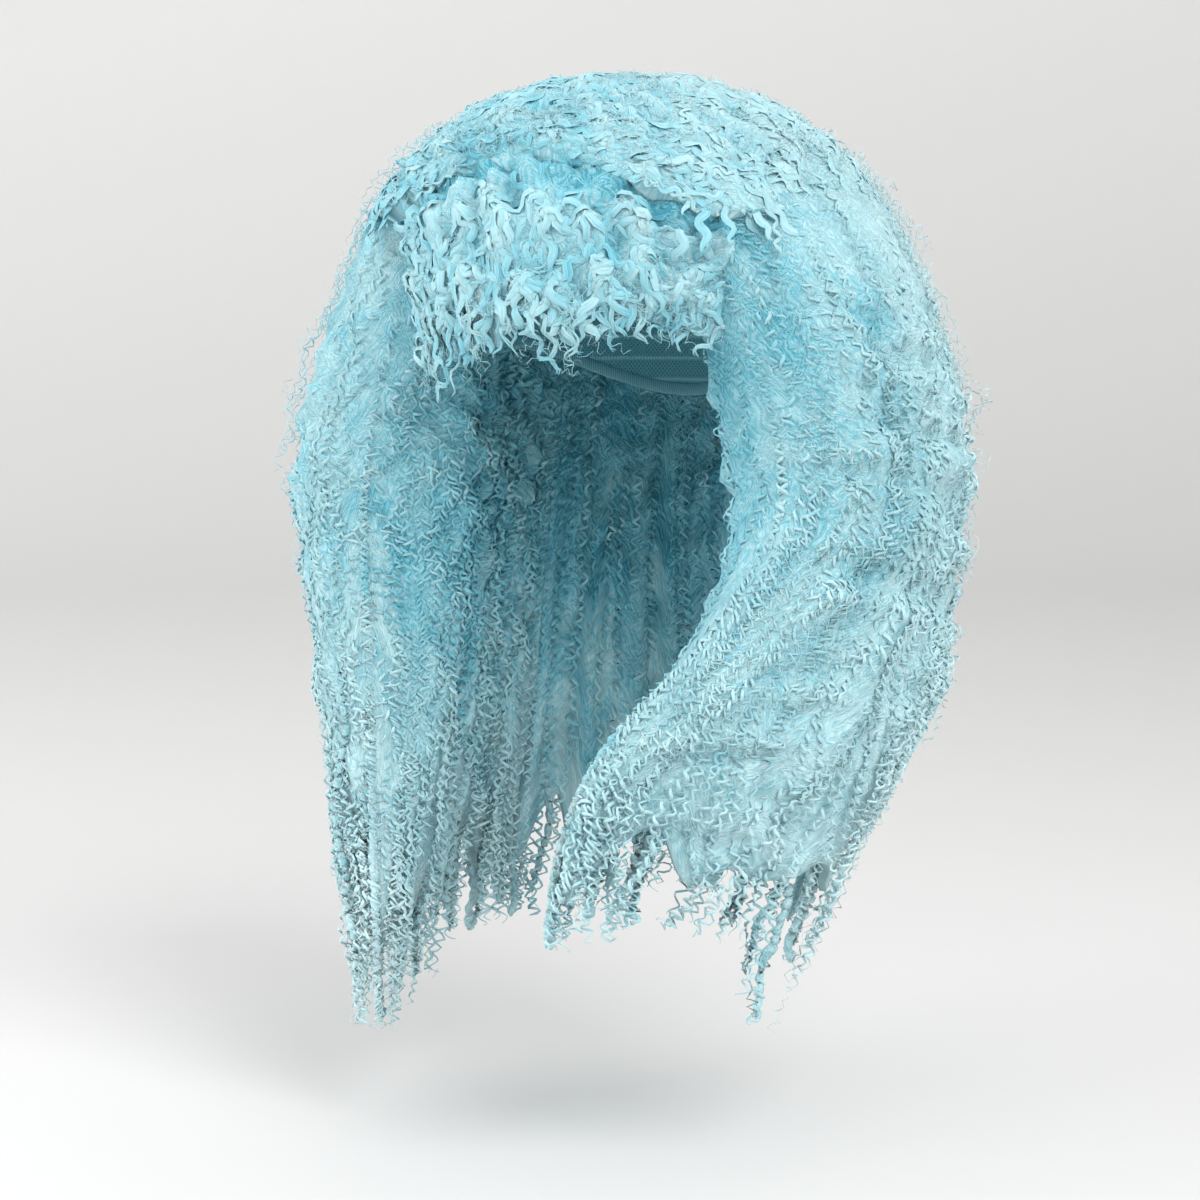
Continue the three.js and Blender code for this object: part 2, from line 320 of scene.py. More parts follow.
class Finish:
    """A material, and ways to add nodes to it."""

    def __init__(self, name):
        self.material = bpy.data.materials.new(name)
        self.material.use_nodes = True
        self.nodes, self.links = self.material.node_tree.nodes, self.material.node_tree.links
        self.shader = self.nodes["Principled BSDF"]

    def math(self, operation, *values):
        """A math node. Each value is a number or a socket."""
        node = self.nodes.new("ShaderNodeMath")
        node.operation = operation
        for socket, value in zip(node.inputs, values):
            if isinstance(value, (int, float)):
                socket.default_value = value
            else:
                self.links.new(value, socket)
        return node.outputs["Value"]

    def noise(self, vector, size, detail):
        node = self.nodes.new("ShaderNodeTexNoise")
        node.inputs["Scale"].default_value = 1 / size
        node.inputs["Detail"].default_value = detail
        self.links.new(vector, node.inputs["Vector"])
        return node.outputs["Fac"]

    def fibre_place(self):
        """Where a point lies across and along the fibres."""
        fibre_map = self.nodes.new("ShaderNodeUVMap")
        fibre_map.uv_map = "Fibre"
        return fibre_map.outputs["UV"]

    def across_and_along(self, place):
        parts = self.nodes.new("ShaderNodeSeparateXYZ")
        self.links.new(place, parts.inputs["Vector"])
        return parts.outputs["X"], parts.outputs["Y"]

    def sine_lines(self, value):
        """From 0 between the lines to 1 on them."""
        return self.math("MULTIPLY_ADD", self.math("SINE", value), 0.5, 0.5)

    def round_light(self, pattern, contrast):
        """The lightness that the mesh carries, made lighter and darker by a pattern."""
        light = self.nodes.new("ShaderNodeAttribute")
        light.attribute_name = "light"
        lower = self.math("SUBTRACT", light.outputs["Fac"], contrast / 2)
        return self.math("MULTIPLY_ADD", pattern, contrast, lower)

    def colour(self, lightness, colours):
        """Evenly spaced colours, picked by lightness."""
        ramp = self.nodes.new("ShaderNodeValToRGB")
        ramp.color_ramp.elements[0].color = colours[0]
        ramp.color_ramp.elements[1].color = colours[-1]
        for place, colour in enumerate(colours[1:-1], 1):
            ramp.color_ramp.elements.new(place / (len(colours) - 1)).color = colour
        self.links.new(lightness, ramp.inputs["Fac"])
        self.links.new(ramp.outputs["Color"], self.shader.inputs["Base Color"])

    def relief(self, height, strength, metres):
        bump = self.nodes.new("ShaderNodeBump")
        bump.inputs["Strength"].default_value = strength
        bump.inputs["Distance"].default_value = metres
        self.links.new(height, bump.inputs["Height"])
        self.links.new(bump.outputs["Normal"], self.shader.inputs["Normal"])

    def soft_fibre(self, passing):
        """What all the hair shares: a soft gloss, and light that passes a little way into it."""
        for socket, value in SOFT_FIBRE.items():
            self.shader.inputs[socket].default_value = value
        self.shader.inputs["Subsurface Scale"].default_value = passing
        return self.material

    def plain(self, roughness):
        self.shader.inputs["Roughness"].default_value = roughness
        return self.material


def fibre_material(name, streaks, passing):
    finish = Finish(name)
    stretch = finish.nodes.new("ShaderNodeMapping")
    stretch.inputs["Scale"].default_value = (LINES_ROUND, LINES_ALONG, 1.0)
    finish.links.new(finish.fibre_place(), stretch.inputs["Vector"])
    lines = finish.noise(stretch.outputs["Vector"], size=1.0, detail=2.0)
    finish.colour(finish.round_light(lines, streaks), HAIR_COLOURS)
    finish.relief(lines, strength=0.5, metres=0.0006)
    return finish.soft_fibre(passing)


fibre = fibre_material("crimped_fibre", streaks=0.5, passing=0.0004)
streaked = fibre_material("streaked_lock", streaks=1.0, passing=0.0010)
print("made", fibre.name, streaked.name)

# %% [markdown]
# The core of each piece stands for the imported hair between the curls that show. It has the same curls as a
# pattern: crimped lines that run down the piece, with painted shade between them, so darker there than on top.

# %% Core material
FINE_PATCH, BROAD_PATCH, SWING_DRIFT, LINE_DRIFT = 0.018, 0.03, 40, 25
FINE_SHARE, BROAD_SHARE, BROAD_SCALE, CORE_CONTRAST = 0.45, 0.55, 1.3, 0.42


def crimped_lines(finish, line, pitch, reach, patch):
    """Lines down the piece that swing from side to side, each patch of them at its own step."""
    place = finish.fibre_place()
    across, along = finish.across_and_along(place)
    drift = finish.noise(place, size=patch, detail=1.5)
    swing_at = finish.math("MULTIPLY_ADD", along, 2 * math.pi / pitch,
                           finish.math("MULTIPLY", drift, SWING_DRIFT))
    swing = finish.math("MULTIPLY", finish.math("SINE", swing_at), reach)
    line_at = finish.math("MULTIPLY_ADD", finish.math("ADD", across, swing), 2 * math.pi / line,
                          finish.math("MULTIPLY", drift, LINE_DRIFT))
    return finish.sine_lines(line_at)


def core_material(name, pitch, reach, fine_line, broad_line):
    finish = Finish(name)
    fine = crimped_lines(finish, fine_line, pitch, reach, FINE_PATCH)
    broad = crimped_lines(finish, broad_line, BROAD_SCALE * pitch, BROAD_SCALE * reach, BROAD_PATCH)
    height = finish.math("MULTIPLY_ADD", fine, FINE_SHARE, finish.math("MULTIPLY", broad, BROAD_SHARE))
    # Painted shade: darker in the grooves between the crimped lines than on top of them.
    finish.colour(finish.round_light(height, CORE_CONTRAST), HAIR_COLOURS)
    finish.relief(height, strength=0.6, metres=0.0016)
    return finish.soft_fibre(passing=0.003)


packed_falls = core_material("packed_ringlets", pitch=0.0078, reach=0.0018, fine_line=0.0021, broad_line=0.0056)
packed_crown = core_material("packed_waves", pitch=0.0100, reach=0.0023, fine_line=0.0022, broad_line=0.0058)
packed_fringe = core_material("packed_broad_waves", pitch=0.0125, reach=0.0030, fine_line=0.0024,
                              broad_line=0.0062)

# %% [markdown]
# ## Cores
# A core is a closed slab bent on to the form just inside the hair's surface. A grid is pulled into a slab and
# each of its corners is moved to its place by share, length and depth. The crown's core starts from a sphere
# instead: its upper half becomes the outside and its lower half the inside, so it closes with no seam.

# %% Cores of the hair
CORE_OUTSIDE, CORE_INSIDE, CORE_LIGHT = 0.98, 0.03, 0.46
CORE_CLOSES_AT = {"fall_left": 0.85, "fall_back": 0.30, "fall_right": 0.30}
CORE_STARTS, CORE_ENDS, FALL_RAGGED, FRINGE_RAGGED = -0.03, 0.88, 0.025, 0.03
CROWN_OUTSIDE, CROWN_INSIDE = 0.97, 0.12
LOCK_SPACING, LOCK_SHORTENS = 0.12, 1.6
hair_pieces = {name: [] for name in ("crown", "fringe", *FALLS)}


def add_object(name, data):
    added = bpy.data.objects.new(name, data)
    bpy.context.scene.collection.objects.link(added)
    return added


def spin_round(bm):
    """Spins a profile once round the upright axis, into a closed ring."""
    bmesh.ops.spin(bm, geom=bm.verts[:] + bm.edges[:], cent=(0, 0, 0), axis=(0, 0, 1),
                   angle=2 * math.pi, steps=96, use_merge=True)


def keep_mesh(bm, name, material):
    """Turns a bmesh into an object with one smooth finish."""
    mesh = bpy.data.meshes.new(name)
    bm.to_mesh(mesh)
    bm.free()
    mesh.shade_smooth()
    mesh.materials.append(material)
    piece = add_object(name, mesh)
    print(name, sum(len(face.vertices) - 2 for face in mesh.polygons), "triangles")
    return piece


# Painted light and shade in the lightness: TUFT_LIGHT makes tufts that stand out paler and shades the
# ROOT_SHADE is painted shade under the crown's edge, and TEMPLE_SHADE painted shade at the left temple.
# hollows between them, LEFT_LIGHT is painted light on the wearer's left, which faces the key lamp,
TUFT_LIGHT, BROAD_LIGHT, LEFT_LIGHT = 0.06, 0.05, 0.19
ROOT_SHADE, CROWN_SHADE, TEMPLE_SHADE = 0.36, 0.05, 0.18
TEMPLE_WIDTH, TEMPLE_ENDS = 0.14, (0.15, 0.5)
# Painted light on the thin tips, as if lit through, and painted shade on the inside of each fall.
TIP_LIGHT = {"fall_left": 0.18, "fall_back": 0.20, "fall_right": 0.34}
INSIDE_SHADE = {"fall_left": 0.14, "fall_back": 0.28, "fall_right": 0.22}


def fall_light(name, share, length, depth):
    """Painted light at the thin tips, painted shade inside, at the left temple and between tufts; varied by
    patch.
    """
    tip = ease(0.5, 1.0, length)
    deep = 1 - ease(0.1, 0.8, mix(LOCK_CORE, depth, edge_thickness(name, share)))
    round_it = np.interp(share, *fall_round[name, 1])
    broad = soft_lumps(round_it, length * FALL_REACH, 11, (0.05, 0.13), 8)
    tufts = TUFT_LIGHT * fall_tufts(name, share, length) + BROAD_LIGHT * broad
    if name == "fall_left":
        # Painted light where the left fall's outside faces the key lamp, and painted shade at the temple.
        tufts = tufts + LEFT_LIGHT * ease(0.25, 0.5, share) * ease(0.2, 0.8, depth)
        tufts = tufts - TEMPLE_SHADE * (1 - ease(0, TEMPLE_WIDTH, share)) * (1 - ease(*TEMPLE_ENDS, length))
    return TIP_LIGHT[name] * tip - INSIDE_SHADE[name] * deep * (1 - 0.6 * tip) + tufts


def crown_light(share, ring):
    """Painted shade between tufts, and painted light, palest on the wearer's left, which faces the key lamp."""
    left = np.clip(np.sin(2 * math.pi * share), 0, 1)
    return TUFT_LIGHT * crown_tufts(share, ring) + LEFT_LIGHT * left - CROWN_SHADE


def fringe_light(share, length):
    """Painted shade at the roots, under the crown's edge, and between tufts."""
    return TUFT_LIGHT * fringe_tufts(share, length) - ROOT_SHADE * (1 - ease(0.0, 0.3, length))


def corner_places(bm):
    bm.verts.index_update()
    return np.array([vert.co[:] for vert in bm.verts])


def bend(bm, name, finish, places, fibre_at, light):
    """Moves each corner to its place, and keeps where it lies on the fibre pattern and its lightness."""
    fibre_at = np.stack(fibre_at, axis=1)
    fibre_map = bm.loops.layers.uv.new("Fibre")
    light_layer = bm.verts.layers.float.new("light")
    for face in bm.faces:
        first = fibre_at[face.loops[0].vert.index][0]
        for loop in face.loops:
            across, along = fibre_at[loop.vert.index]
            loop[fibre_map].uv = (across + CROWN_ROUND * round((first - across) / CROWN_ROUND), along)
    for vert, point, tone in zip(bm.verts, places, light):
        vert.co = point
        vert[light_layer] = tone
    bmesh.ops.recalc_face_normals(bm, faces=bm.faces[:])
    return keep_mesh(bm, name, finish)


def slab_core(name, columns, rows, place, pattern, light, finish):
    bm = bmesh.new()
    bmesh.ops.create_grid(bm, x_segments=columns, y_segments=rows, size=0.5)
    lower = bmesh.ops.extrude_face_region(bm, geom=bm.faces[:], use_keep_orig=True)["geom"]
    lower = [item for item in lower if isinstance(item, bmesh.types.BMVert)]
    bmesh.ops.translate(bm, verts=lower, vec=(0, 0, -1))
    corners = corner_places(bm)
    spot = corners[:, 0] + 0.5, 0.5 - corners[:, 1], mix(CORE_OUTSIDE, CORE_INSIDE, -corners[:, 2])
    return bend(bm, name, finish, place(*spot), pattern(*spot), light(*spot))


def long_lock(name, share):
    """How far, in metres, the tips hang below those on both sides."""
    beside = tip_height(name, share - LOCK_SPACING) + tip_height(name, share + LOCK_SPACING)
    return np.maximum(beside / 2 - tip_height(name, share), 0)


def fall_core(name):
    surface = fall_surface(name)
    front = 1 if name == "fall_right" else 0

    def even_share(share):
        """Columns evenly spaced on the outside."""
        shares, distance = fall_round[name, 1]
        return np.interp(share * distance[-1], distance, shares)

    def place(share, length, depth):
        along = share * fall_round[name, 1][1][-1]
        end = CORE_ENDS + FALL_RAGGED * soft_lumps(along, 0, 7, (0.02, 0.06))
        end = end - LOCK_SHORTENS * long_lock(name, even_share(share))
        deep = mix(depth, CORE_CLOSES_AT[name], 0.85 * ease(0.8, 1.0, length))
        return surface(even_share(share), mix(CORE_STARTS, end, length), deep)

    def pattern(share, length, depth):
        """Across is measured from the front edge, one way on the outside and the other way on the inside."""
        share = even_share(share)
        outside, inside = (np.abs(np.interp(share, shares, distance) - distance[-front])
                           for shares, distance in (fall_round[name, 1], fall_round[name, 0]))
        return np.where(depth > 0.5, outside, -inside), length * FALL_REACH

    def light(share, length, depth):
        return CORE_LIGHT + fall_light(name, even_share(share), length, depth)

    return slab_core(name + "_core", 96, 46, place, pattern, light, packed_falls)


for name in FALLS:
    hair_pieces[name].append(fall_core(name))


def fringe_core():
    def place(share, length, depth):
        deep = mix(depth, 0.6, 0.8 * ease(0.75, 1.0, length))
        end = CORE_ENDS + FRINGE_RAGGED * soft_lumps(share * FRINGE_WIDTH, 0, 4, (0.012, 0.03))
        return fringe_surface(mix(0.02, 0.98, share), mix(0.0, end, length), deep)

    def pattern(share, length, depth):
        return share * FRINGE_WIDTH, length * FRINGE_REACH

    def light(share, length, depth):
        return CORE_LIGHT + fringe_light(share, length)

    return slab_core("fringe_core", 60, 24, place, pattern, light, packed_fringe)


hair_pieces["fringe"].append(fringe_core())


def folded_sphere(columns, rows, edge):
    """A sphere, and for each corner its bearing, its way down to the edge and its height."""
    bm = bmesh.new()
    bmesh.ops.create_uvsphere(bm, u_segments=columns, v_segments=rows, radius=1)
    corners = corner_places(bm)
    bearing = np.arctan2(corners[:, 0], -corners[:, 1])
    down = np.arccos(np.clip(np.abs(corners[:, 2]), 0, 1)) / (math.pi / 2) * edge(bearing)
    return bm, bearing, down, corners[:, 2]


def crown_core():
    bm, bearing, ring, height = folded_sphere(96, 48, crown_edge)
    share = bearing / (2 * math.pi)
    places = crown_surface(share, ring, np.where(height > -0.001, CROWN_OUTSIDE, CROWN_INSIDE))
    fibre_at = share * CROWN_ROUND, ring * CROWN_REACH / CROWN_RING
    return bend(bm, "crown_core", packed_crown, places, fibre_at, CORE_LIGHT + crown_light(share, ring))


hair_pieces["crown"].append(crown_core())

# %% [markdown]
# ## The net cap
# Inside the hair is a cap of stretchy net, with rows of hair sewn on in wefts and a woven tape round its rim.
# Most of it is hidden, but its back shows through the face opening. The wall is a sphere pushed on to the
# head's ovals, with its upper half outside and its lower half inside, and the tape is a ring spun round and
# then pushed to the rim.

# %% Cap and rim tape
HEAD_HALF_WIDTH, HEAD_HALF_DEPTH, HEAD_CROWN, CAP_WALL = 77 * MM, 97 * MM, 105 * MM, 1.5 * MM
TAPE_HALF_WIDTH, TAPE_UP, TAPE_OUT, TAPE_HALF_THICK = 0.0040, 0.0042, 0.0005, 0.0010
NET_COLOURS = (0.05, 0.20, 0.26, 1), (0.13, 0.40, 0.48, 1), (0.30, 0.56, 0.62, 1)
TAPE_COLOURS = (0.10, 0.33, 0.41, 1), (0.24, 0.50, 0.57, 1)
RIM_FRONT, RIM_SIDE, RIM_BACK = 66, 97, 114
NET_MESH, WEFT_STEP, STITCH, TAPE_RIB = 0.0028, 0.0130, 0.0022, 0.0016


def cap_rim(bearing):
    """The angle down from the crown at which the cap ends."""
    ahead = np.cos(bearing)
    return np.radians(mix(RIM_SIDE, np.where(ahead > 0, RIM_FRONT, RIM_BACK), ahead ** 2))


def cap_point(bearing, polar, offset):
    reach = np.sin(polar)
    return np.stack([(HEAD_HALF_WIDTH + offset) * reach * np.sin(bearing),
                     -(HEAD_HALF_DEPTH + offset) * reach * np.cos(bearing),
                     (HEAD_CROWN + offset) * np.cos(polar) - HEAD_CROWN], axis=1)


def rows_of(finish, value, step):
    return finish.sine_lines(finish.math("MULTIPLY", value, 2 * math.pi / step))


def net_material():
    finish = Finish("net_and_wefts")
    across, down = finish.across_and_along(finish.fibre_place())
    one_way = rows_of(finish, finish.math("ADD", across, down), NET_MESH)
    other_way = rows_of(finish, finish.math("SUBTRACT", across, down), NET_MESH)
    net = finish.math("MAXIMUM", one_way, other_way)
    row = finish.math("POWER", rows_of(finish, down, WEFT_STEP), 6)
    stitched = finish.math("MULTIPLY_ADD", rows_of(finish, across, STITCH), 0.3, 0.7)
    height = finish.math("MAXIMUM", finish.math("MULTIPLY", net, 0.5),
                         finish.math("MULTIPLY", row, stitched))
    finish.colour(height, NET_COLOURS)
    finish.relief(height, strength=0.7, metres=0.0010)
    return finish.plain(roughness=0.75)


def tape_material():
    finish = Finish("woven_tape")
    ribs = rows_of(finish, finish.across_and_along(finish.fibre_place())[0], TAPE_RIB)
    finish.colour(ribs, TAPE_COLOURS)
    finish.relief(ribs, strength=0.5, metres=0.0005)
    return finish.plain(roughness=0.7)


def net_cap():
    bm, bearing, polar, height = folded_sphere(80, 56, cap_rim)
    places = cap_point(bearing, polar, CAP_WALL * np.clip(0.5 + 4 * height, 0, 1))
    fibre_at = bearing / (2 * math.pi) * CROWN_ROUND, polar * HEAD_CROWN
    return bend(bm, "net_cap", net_material(), places, fibre_at, np.full(len(places), 0.5))


def rim_tape():
    bm = bmesh.new()
    circle = bmesh.ops.create_circle(bm, segments=10, radius=0.25)["verts"]
    bmesh.ops.rotate(bm, verts=circle, cent=(0, 0, 0), matrix=Matrix.Rotation(math.pi / 2, 3, "X"))
    bmesh.ops.translate(bm, verts=circle, vec=(1, 0, 0))
    spin_round(bm)
    corners = corner_places(bm)
    bearing = np.arctan2(corners[:, 0], -corners[:, 1])
    outward, upward = (np.hypot(corners[:, 0], corners[:, 1]) - 1) / 0.25, corners[:, 2] / 0.25
    polar = cap_rim(bearing) - (TAPE_UP + TAPE_HALF_WIDTH * upward) / HEAD_CROWN
    places = cap_point(bearing, polar, TAPE_OUT + TAPE_HALF_THICK * outward)
    fibre_at = bearing / (2 * math.pi) * CROWN_ROUND, TAPE_HALF_WIDTH * upward
    return bend(bm, "rim_tape", tape_material(), places, fibre_at, np.full(len(places), 0.5))


cap_pieces = [net_cap(), rim_tape()]

# %% [markdown]
# ## Curls as joined meshes
# A curl is a bundle of a few fibres wound together round the line that they hang on. A curve object for each
# one would be slow and heavy, so whole families are worked out at once as arrays: the lines, the winding, and
# three corners at each step, or more for a thick lock. The edges along a flat strand's sides are kept sharp,
# so it shades like a ribbon.

# %% Strand builder
random = np.random.default_rng(41)
TONE_VARIES, SHARE_STEP, DEPTH_STEP = 0.06, 0.01, 0.05
# Which corners lie on the sides, in a strand of three or of four.
SIDE_CORNERS = {3: (1, 2), 4: (1, 3)}
ROOT_TAPER, TIP_TAPER, END_WIDTH, TAPER_POWER = 0.04, 0.06, 0.1, 0.6
COLUMN_GAP, END_NUDGE, MAP_HEIGHT = 0.05, 0.003, 1.01


def spread(count, low, high):
    return random.uniform(low, high, count)


def each(count, low, high):
    """One value for each curl, as a column."""
    return spread(count, low, high)[:, None]


def unit(vectors):
    return vectors / np.maximum(np.linalg.norm(vectors, axis=-1, keepdims=True), 1e-9)


def wander(count, along, reach, turns):
    """Slow waves, different for each curl, by which it strays from its line."""
    total = 0
    for number in turns:
        rate = each(count, 0.75, 1.3) * number
        total = total + np.sin(2 * math.pi * (rate * along + each(count, 0, 1))) / math.sqrt(number)
    return reach * total


def crimped(lines, outward, kind):
    """Winds each line into a bundle of fibres. Roundness 1 is a round helix, and 0 is a flat wave."""
    fibres = kind["fibres"]
    count = len(lines)

    def bundle(low, high):
        return np.repeat(spread(count, low, high), fibres)[:, None]

    pitch, radius, roundness = (bundle(*kind[value]) for value in ("pitch", "radius", "roundness"))
    phase, hand = bundle(0, 2 * math.pi), np.sign(bundle(-1, 1))
    loose = kind["loose"]
    lag = phase + each(count * fibres, -loose, loose)
    radius = radius * each(count * fibres, 1 - 0.4 * loose, 1 + 0.4 * loose)
    lines, outward = np.repeat(lines, fibres, axis=0), np.repeat(outward, fibres, axis=0)
    steps = np.linalg.norm(np.diff(lines, axis=1), axis=2)
    distance = np.concatenate([np.zeros((len(lines), 1)), np.cumsum(steps, axis=1)], axis=1)
    turns = distance / pitch
    # The winding runs ahead and falls behind, and swells and shrinks, by waves that differ from curl to curl.
    angle = hand * (2 * math.pi * turns + lag + 1.1 * np.sin(0.47 * turns + 2 * phase)
                    + 0.7 * np.sin(1.9 * turns + phase))
    swell = radius * (1 + 0.25 * np.sin(0.61 * turns + 3 * phase) + 0.15 * np.sin(1.7 * turns + 5 * phase))
    swell = swell * mix(1, kind["tip_curl"], ease(0.8, 1.0, distance / distance[:, -1:]))
    forward = unit(np.gradient(lines, axis=1))
    side = unit(np.cross(forward, outward))
    normal = np.cross(side, forward)
    wound = (swell * np.cos(angle))[..., None] * side + (swell * roundness * np.sin(angle))[..., None] * normal
    facing = unit(wound * roundness[..., None] + normal * (radius * mix(1.0, 0.35, roundness))[..., None])
    return lines + wound, facing, distance


def face_maps(*values):
    """The fibre's map and the bake's map, a row for each corner of each face."""
    return np.stack(np.broadcast_arrays(*values), axis=-1).reshape(-1, 4)


class Strands:
    """Families of curls on one surface, all with the same number of corners, joined in one mesh."""

    def __init__(self, place):
        self.place = place
        self.points, self.light = [], []
        self.quads, self.quad_uvs, self.ends, self.end_uvs = [], [], [], []
        self.count, self.rows = 0, 0

    def grow(self, kind, share, length, depth, light, shade, facing=1):
        """Adds one family: each row of share, length and depth is the line of a curl."""
        place = self.place
        light = light + each(len(share), -TONE_VARIES, TONE_VARIES) + shade
        lines = place(share, length, depth)
        beside = place(share + SHARE_STEP, length, depth) - place(share - SHARE_STEP, length, depth)
        outward = place(share, length, depth + DEPTH_STEP) - place(share, length, depth - DEPTH_STEP)
        square = unit(np.cross(np.gradient(lines, axis=1), beside))
        way = facing * np.sign((square * outward).sum(-1, keepdims=True))
        centres, out, distance = crimped(lines, way * square, kind)
        fibres, steps = centres.shape[:2]
        along = np.linspace(0, 1, steps)
        taper = np.minimum(along / ROOT_TAPER, (1 - along) / TIP_TAPER)
        ends = np.clip(taper, END_WIDTH, 1) ** TAPER_POWER
        forward = unit(np.gradient(centres, axis=1))
        normal = unit(out - forward * (out * forward).sum(-1, keepdims=True))
        side = np.cross(forward, normal)
        half_width = (each(fibres, *kind["width"]) * ends / 2)[..., None]
        half_height = (each(fibres, *kind["thickness"]) * ends / 2)[..., None]
        twist = (kind["twist"] * 2 * math.pi * distance / each(fibres, *kind["pitch"]))[..., None]
        broad = half_width * (np.cos(twist) * side + np.sin(twist) * normal)
        thin = half_height * (np.cos(twist) * normal - np.sin(twist) * side)
        turn = 2 * math.pi * np.arange(kind["corners"]) / kind["corners"]
        ring = np.stack([centres + math.sin(a) * broad + math.cos(a) * thin for a in turn], axis=2)
        tone = np.repeat(light, kind["fibres"], axis=0) + each(fibres, -TONE_VARIES, TONE_VARIES)
        self.join(ring, distance, tone, kind["girth"])

    def join(self, ring, distance, light, girth):
        """Adds rings of corners as tubes, with a face at each end. The bake's map gives each tube a column."""
        tubes, steps, corners = ring.shape[:3]
        corner, step = np.arange(corners), np.arange(steps)
        turned = (corner + 1) % corners
        tube = np.arange(tubes)[:, None, None]
        first = self.count + corners * (steps * tube + step[:-1, None])
        beyond = first + corners
        quads = np.stack([first + corner, first + turned, beyond + turned, beyond + corner], axis=-1)
        across = np.stack([corner, corner + 1, corner + 1, corner], axis=-1) / corners
        step_of = step[:-1, None, None] + np.array([0, 0, 1, 1])
        column = self.rows + tube[..., None] + mix(COLUMN_GAP, 1 - COLUMN_GAP, across)
        self.quads.append(quads.reshape(-1, 4))
        self.quad_uvs.append(face_maps(girth * across, distance[:, step_of], column, step_of / (steps - 1)))
        tube = tube[:, 0]
        for last, order in ((0, corner[::-1]), (steps - 1, corner)):
            self.ends.append(self.count + corners * (steps * tube + last) + order)
            column = self.rows + tube + (order + 0.5) / corners
            down = last / (steps - 1) + np.where(order == 1, END_NUDGE, 0)
            self.end_uvs.append(face_maps(girth * order / corners, distance[:, last:last + 1], column, down))
        self.points.append(ring.reshape(-1, 3))
        self.light.append(np.repeat(np.clip(light, 0, 1).reshape(-1), corners))
        self.count += corners * steps * tubes
        self.rows += tubes

    def build(self, name, finish):
        points, quads, ends = (np.concatenate(part) for part in (self.points, self.quads, self.ends))
        uvs = np.concatenate(self.quad_uvs + self.end_uvs)
        corners = ends.shape[1]
        starts = np.append(4 * np.arange(len(quads)), quads.size + corners * np.arange(len(ends)))
        mesh = bpy.data.meshes.new(name)
        mesh.vertices.add(len(points))
        mesh.vertices.foreach_set("co", points.astype(np.float32).ravel())
        mesh.loops.add(len(uvs))
        mesh.loops.foreach_set("vertex_index", np.append(quads, ends).astype(np.int32))
        mesh.polygons.add(len(starts))
        mesh.polygons.foreach_set("loop_start", starts.astype(np.int32))
        mesh.update(calc_edges=True)
        mesh.shade_smooth()
        edge_ends = np.empty(2 * len(mesh.edges), np.int32)
        mesh.edges.foreach_get("vertices", edge_ends)
        rim = edge_ends.reshape(-1, 2) % corners
        sharp = mesh.attributes.new("sharp_edge", "BOOLEAN", "EDGE")
        on_side = np.isin(rim[:, 0], SIDE_CORNERS.get(corners, ()))
        sharp.data.foreach_set("value", (rim[:, 0] == rim[:, 1]) & on_side)
        for uv_name, places in (("Fibre", uvs[:, :2]), ("OFBake", uvs[:, 2:] / (self.rows, MAP_HEIGHT))):
            uv_map = mesh.uv_layers.new(name=uv_name)
            uv_map.uv.foreach_set("vector", places.astype(np.float32).ravel())
        light = mesh.attributes.new("light", "FLOAT", "POINT")
        light.data.foreach_set("value", np.concatenate(self.light).astype(np.float32))
        mesh.materials.append(finish)
        print(name, self.rows, "fibres,", 2 * len(quads) + (corners - 2) * len(ends), "triangles")
        return add_object(name, mesh)


def along_curl(kind, reach):
    """From 0 at the root to 1 at the tip, in enough steps for each turn of a curl of this length."""
    return np.linspace(0, 1, max(int(kind["steps"] * reach / np.mean(kind["pitch"])), 8))


# %% [markdown]
# ## Kinds of curl
# The long hair is wound into ringlets with a turn every 7 mm. The crown has looser waves and the fringe broad
# ones. Frizz is the single fibres that have come loose from their curls, thin and wide-looped.

# %% Kinds of curl
RINGLET = dict(pitch=(0.0062, 0.0088), radius=(0.0015, 0.0028), width=(0.0014, 0.0025),
               thickness=(0.0010, 0.0016), roundness=(0.25, 1.0), steps=4.7, corners=3, fibres=1,
               loose=0.0, tip_curl=1.4, twist=0, girth=1)
LOOSE_RINGLET = dict(RINGLET, width=(0.0008, 0.0013), thickness=(0.0006, 0.0009))
FRIZZ = dict(RINGLET, pitch=(0.0050, 0.0085), radius=(0.0012, 0.0030), width=(0.0004, 0.0006),
             thickness=(0.0003, 0.0005), roundness=(0.5, 1.0), steps=4)
TWISTED_LOCK = dict(FRIZZ, pitch=(0.0070, 0.0090), radius=(0.0004, 0.0008), width=(0.0048, 0.0070),
                    thickness=(0.0036, 0.0050), steps=5, corners=6, tip_curl=2.0, twist=0.5, girth=0.018)
WAVE = dict(RINGLET, pitch=(0.0088, 0.0124), radius=(0.0015, 0.0026), width=(0.0013, 0.0021),
            thickness=(0.0008, 0.0012), roundness=(0.1, 0.4), steps=5.5, fibres=2, loose=0.9, tip_curl=1.2)
BROAD_WAVE = dict(WAVE, pitch=(0.0130, 0.0170), radius=(0.0019, 0.0030), thickness=(0.0009, 0.0014),
                  steps=8, fibres=3, loose=0.7)
WAVY_LOCK = dict(BROAD_WAVE, pitch=(0.0150, 0.0195), radius=(0.0024, 0.0034), width=(0.0038, 0.0060),
                 thickness=(0.0018, 0.0028), steps=7.5, corners=4, fibres=1)
CROWN_LOCK = dict(WAVY_LOCK, pitch=(0.0110, 0.0145), radius=(0.0014, 0.0022), width=(0.0032, 0.0050),
                  thickness=(0.0012, 0.0018), steps=7)
# How often a long and a short curl stray from their line, and how far in and out.
LONG_STRAY, SHORT_STRAY, DEPTH_STRAY = (1.3, 3.1, 6.7), (0.6, 1.4), 0.012


